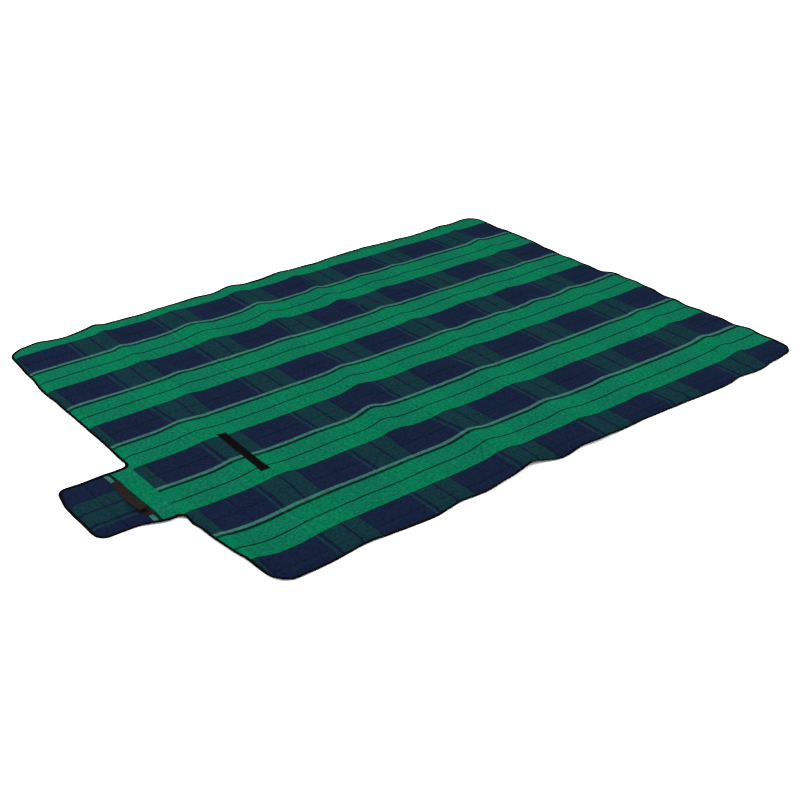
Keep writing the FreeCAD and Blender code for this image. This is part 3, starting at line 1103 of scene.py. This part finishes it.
def strip_points(middle, width, length, tilt, step):
    """A grid over a strip, as flat points and as places on the strip itself."""
    across = np.linspace(-width / 2, width / 2, round(width / step) + 1)
    along = np.linspace(-length / 2, length / 2, round(length / step) + 1)
    a, b = np.meshgrid(across, along, indexing="ij")
    return *tilted(middle, a, b, tilt), a, b


def frame_line(middle, width, length, tilt, height):
    """A rectangle of flat points, closed, with heights from a function of (x, y)."""
    corners = np.array([(-1, -1), (1, -1), (1, 1), (-1, 1), (-1, -1)]) * [width / 2, length / 2]
    line = np.concatenate(
        [np.linspace(start, end, 30)[:-1] for start, end in zip(corners, corners[1:])] + [corners[-1:]]
    )
    x, y = tilted(middle, line[:, 0], line[:, 1], tilt)
    return np.column_stack([x, y, height(x, y)])


STRIP_WIDTH = HOOK_HIGH.x - HOOK_LOW.x
STRIP_SELVEDGE = 2.4 * MM
STRIP_SEAM_INSET = 1.7 * MM
SELVEDGE_HEIGHT = 0.75 * MM
PILE_HEIGHT = 0.75 * MM
LOOP_TILT = math.radians(-2.4)
LOOP_LENGTH = 190 * MM


def sew_strip(name, body, node, middle, length, tilt, height):
    """The row of stitches round a strip, just inside its border."""
    size = (STRIP_WIDTH - 2 * STRIP_SEAM_INSET, length - 2 * STRIP_SEAM_INSET)
    sewn = stitches(name, [frame_line(middle, *size, tilt, height)], thread, pitch=3 * MM)
    declare(sewn, body, [node])


def add_loop_strip():
    """The loop half, on the face: a woven border round a low, uneven pile."""
    middle = ((LOOP_LOW.x + LOOP_HIGH.x) / 2, (LOOP_LOW.y + LOOP_HIGH.y) / 2)
    x, y, a, b = strip_points(middle, STRIP_WIDTH, LOOP_LENGTH, LOOP_TILT, 1 * MM)
    from_edge = np.minimum(STRIP_WIDTH / 2 - np.abs(a), LOOP_LENGTH / 2 - np.abs(b))
    pile = ease(from_edge, STRIP_SELVEDGE - 0.6 * MM, STRIP_SELVEDGE + 0.6 * MM)
    fuzz = ripple(a, b, *PILE_FUZZ) + ripple(a, b, *PILE_WAVE)
    rounded_edge = 0.35 * MM * (1 - ease(from_edge, 0, 0.9 * MM))
    rise = SELVEDGE_HEIGHT + pile * (PILE_HEIGHT + fuzz) - rounded_edge
    upper = laid(x, y, cloth_top(x, y) + rise)
    lower = laid(x, y, cloth_top(x, y) - 0.25 * MM)
    strip = closed_sheet("loop_tape", upper, lower, closure, np.stack([b, a], -1))
    declare(strip, "centre_front_quarter", ["loop_strip"])

    def sewn_top(x, y):
        return cloth_top(x, y) + 0.8 * MM

    outline = (middle, LOOP_LENGTH, LOOP_TILT, sewn_top)
    sew_strip("loop_tape_stitches", "centre_front_quarter", "loop_strip_thread", *outline)


# One hook's outline from its foot to its tip: (how far it leans, height, half width), in mm
HOOK = ((0.0, 0.60, 0.26), (0.0, 0.25, 0.22), (0.15, 0.06, 0.20), (0.42, 0.10, 0.10))
HOOK_STEP = 1.7 * MM


def add_hook_strip():
    """The hook half, under the tongue: a woven base with rows of small bent hooks."""
    middle = ((HOOK_LOW.x + HOOK_HIGH.x) / 2, TONGUE_Y)
    length = HOOK_HIGH.y - HOOK_LOW.y
    x, y, a, b = strip_points(middle, STRIP_WIDTH, length, 0.0, 2 * MM)
    upper, lower = laid(x, y, film_bottom(x, y)), laid(x, y, 0.55 * MM)
    strip = closed_sheet("hook_tape", upper, lower, closure, np.stack([b, a], -1))
    declare(strip, "tongue", ["hook_strip"])

    border = 2 * STRIP_SELVEDGE + 1 * MM
    hook_x, hook_y, _, _ = strip_points(middle, STRIP_WIDTH - border, length - border, 0.0, HOOK_STEP)
    ring = np.array([(-1, -1), (1, -1), (1, 1), (-1, 1)])
    levels = []
    for lean, height, half in HOOK:
        level_x = hook_x[..., None] + (lean + half * ring[:, 0]) * MM
        level_y = hook_y[..., None] + half * ring[:, 1] * MM
        levels.append(laid(level_x, level_y, height * MM))
    corners = len(HOOK) * 4
    hooks = np.stack(levels, axis=2).reshape(-1, corners, 3)
    faces = []
    for number in range(len(hooks)):
        faces += tube_faces(number * corners, len(HOOK), 4)
    hook_rows = make_mesh("hook_rows", hooks, faces, closure, np.zeros((len(hooks) * corners, 2)))
    declare(hook_rows, "tongue", [])

    def sewn_height(x, y):
        return np.full_like(x, 0.45 * MM)

    outline = (middle, length, 0.0, sewn_height)
    sew_strip("hook_tape_stitches", "tongue", "hook_strip_thread", *outline)


add_loop_strip()
add_hook_strip()


# Carry handle

HANDLE_X = (HANDLE_LOW.x + HANDLE_HIGH.x) / 2
WEBBING_WIDTH = HANDLE_HIGH.x - HANDLE_LOW.x
WEBBING_THICKNESS = 1.3 * MM
THIN_EDGE = 0.45 * MM
RIBS = 8
RIB_HEIGHT = 0.07 * MM
WEBBING_CURL = 0.4 * MM
WEBBING_MIDDLE = (SEWN_FRONT + SEWN_BACK) / 2
BOX_STITCH = 12 * MM
HANDLE_STEP = 0.8 * MM

# The line of the webbing from its front tip, tucked under itself there, to its back tip:
# (mm from the handle's front end, height over the cloth, how far it has slipped to the left)
HANDLE_LINE = (
    (11, 0.6, -1), (19, 0.6, -1), (28, 0.6, 0), (36, 0.8, 2), (38.5, 2.8, 3), (36, 5, 4), (28, 5.6, 5),
    (23.5, 6.2, 5), (23.5, 9, 5), (28, 9.6, 5), (38, 8.6, 5), (48, 6.2, 5), (60, 3.6, 5), (78, 2.4, 5),
    (98, 2, 3), (118, 1.2, 1), (130, 0.6, -0.5), (142, 0.6, -1), (154, 0.6, -1),
)


def handle_line():
    """The webbing's line with smooth bends, as even (y, height, slip), and the way across it."""
    line = np.array(HANDLE_LINE) * MM + [HANDLE_LOW.y, 0, 0]
    for _ in range(3):
        cut = np.stack([line[:-1] * 0.75 + line[1:] * 0.25, line[:-1] * 0.25 + line[1:] * 0.75], 1)
        line = np.concatenate([line[:1], cut.reshape(-1, 3), line[-1:]])
    travelled = distance_along(line[:, :2])
    line = evenly_spaced(line, travelled, math.ceil(travelled[-1] / HANDLE_STEP))
    heading = np.gradient(line[:, :2], axis=0)
    heading /= np.linalg.norm(heading, axis=1)[:, None]
    return line, np.stack([-heading[:, 1], heading[:, 0]], -1)


def webbing_part(name, line, upwards):
    """The webbing along part of its line: a flat ribbed band with rounded edges."""
    across = np.concatenate([[-1.0, -0.98, -0.95], np.linspace(-0.9, 0.9, 37), [0.95, 0.98, 1.0]])
    free = ease(line[:, 1], 1 * MM, 3 * MM)
    ribs = RIB_HEIGHT * np.cos(across * math.pi * RIBS)
    half = (WEBBING_THICKNESS - THIN_EDGE * ease(np.abs(across), 0.9, 1.0)) / 2
    x = HANDLE_X - line[None, :, 2] + across[:, None] * WEBBING_WIDTH / 2
    sides = []
    for depth in (half + ribs, -half):
        y = line[:, 0] + depth[:, None] * upwards[:, 0]
        curl = free * WEBBING_CURL * across[:, None] ** 2
        height = cloth_top(x, y) + line[:, 1] + depth[:, None] * upwards[:, 1] + curl
        sides.append(laid(x, y, height))
    travelled = np.broadcast_to(HANDLE_STEP * np.arange(len(line)), x.shape)
    return closed_sheet(name, *sides, webbing, np.stack([travelled, x - HANDLE_X], -1))


def cross_stitches(name, y_middle):
    """A square of stitches crossed corner to corner, on the sewn-down webbing."""
    half = BOX_STITCH / 2
    middle = (HANDLE_X + 1 * MM, y_middle)

    def sewn_top(x, y):
        return cloth_top(x, y) + 1.3 * MM

    rows = [frame_line(middle, BOX_STITCH, BOX_STITCH, 0.0, sewn_top)]
    for side in (-1, 1):
        share = np.linspace(-1, 1, 20)
        x, y = middle[0] + half * share, middle[1] + side * half * share
        rows.append(np.column_stack([x, y, sewn_top(x, y)]))
    return stitches(name, rows, thread, pitch=3 * MM)


def add_handle():
    """The webbing in two halves that meet in the middle of the free span, and its two sewn squares."""
    line, upwards = handle_line()
    cut = int(np.flatnonzero(line[:, 0] < WEBBING_MIDDLE)[-1])
    flat_part = 12 * MM
    halves = (
        ("front", slice(0, cut + 1), SEWN_FRONT, WEBBING_MIDDLE - flat_part, HANDLE_LOW.y + 18 * MM),
        ("back", slice(cut, None), SEWN_BACK, WEBBING_MIDDLE + flat_part, HANDLE_HIGH.y - 12 * MM),
    )
    for name, part, sewn_to, full, square in halves:
        half = webbing_part(f"handle_webbing_{name}", line[part], upwards[part])
        ends = laid(np.full(2, HANDLE_X), np.array([sewn_to, full]), 0)
        bend = [(0, float(end[1]), 0) for end in ends]
        declare(half, ("tongue", "handle"), [f"handle_end_{name}", "handle_strap"], bend)
        sewn = cross_stitches(f"handle_stitches_{name}", square)
        declare(sewn, "tongue", [f"handle_end_thread_{name}"])


add_handle()


# Camera, light and floor


# The camera's heading, and its place seen along it: right of, above and before the panel's middle
CAMERA_AZIMUTH, CAMERA_ELEVATION = math.radians(38.48), math.radians(28.21)
CAMERA_RIGHT, CAMERA_ABOVE, CAMERA_BEFORE = -0.005, -0.116, 3.047


def add_camera():
    """The camera, looking down on the blanket over its front left corner."""
    azimuth, elevation = CAMERA_AZIMUTH, CAMERA_ELEVATION
    forward = Vector(
        (
            math.sin(azimuth) * math.cos(elevation),
            math.cos(azimuth) * math.cos(elevation),
            -math.sin(elevation),
        )
    )
    rightward = Vector((math.cos(azimuth), -math.sin(azimuth), 0))
    upward = rightward.cross(forward)
    panel_middle = Vector(((LEFT + RIGHT) / 2, 0, 0))
    camera = bpy.data.objects.new("camera", bpy.data.cameras.new("camera"))
    camera.data.lens = 57.13
    camera.data.sensor_width = 36
    aside = CAMERA_RIGHT * rightward + CAMERA_ABOVE * upward
    camera.location = panel_middle + aside - CAMERA_BEFORE * forward
    camera.rotation_euler = Matrix((rightward, upward, -forward)).transposed().to_euler()
    bpy.context.scene.collection.objects.link(camera)
    bpy.context.scene.camera = camera


def add_light(name, place, target, size, power):
    """A soft square area light that points at a target."""
    data = bpy.data.lights.new(name, "AREA")
    data.shape = "SQUARE"
    data.size = size
    data.energy = power
    light = bpy.data.objects.new(name, data)
    light.location = place
    light.rotation_euler = (Vector(target) - Vector(place)).to_track_quat("-Z", "Y").to_euler()
    bpy.context.scene.collection.objects.link(light)


def add_stage():
    """A plain white floor under plain soft studio light."""
    half = 12.0
    points = np.array([(-half, -half, 0), (half, -half, 0), (half, half, 0), (-half, half, 0)])
    paint = Shader("floor_paint", roughness=0.9, specular=0.1)
    coordinate = paint.node("ShaderNodeTexCoord").outputs["Object"]
    cloudy = paint.noise(coordinate, 0.8, 2.0)
    colour = paint.mix("MIX", cloudy, (0.97, 0.97, 0.97), (0.99, 0.99, 0.99))
    floor = make_mesh("floor", points, [[0, 1, 2, 3]], paint.finish(colour, cloudy, 0.1 * MM, 0.05))
    floor.location.z = -0.3 * MM

    world = bpy.data.worlds.new("studio")
    world.use_nodes = True
    background = world.node_tree.nodes["Background"]
    background.inputs["Color"].default_value = (1, 1, 1, 1)
    background.inputs["Strength"].default_value = 1.5
    bpy.context.scene.world = world
    add_light("key", (-2.6, 2.4, 2.6), (0, 0, 0), 2.0, 200)
    add_light("fill", (2.5, -3.0, 3.0), (0, 0, 0), 3.0, 220)


add_camera()
add_stage()
bpy.context.scene.view_settings.view_transform = "Standard"
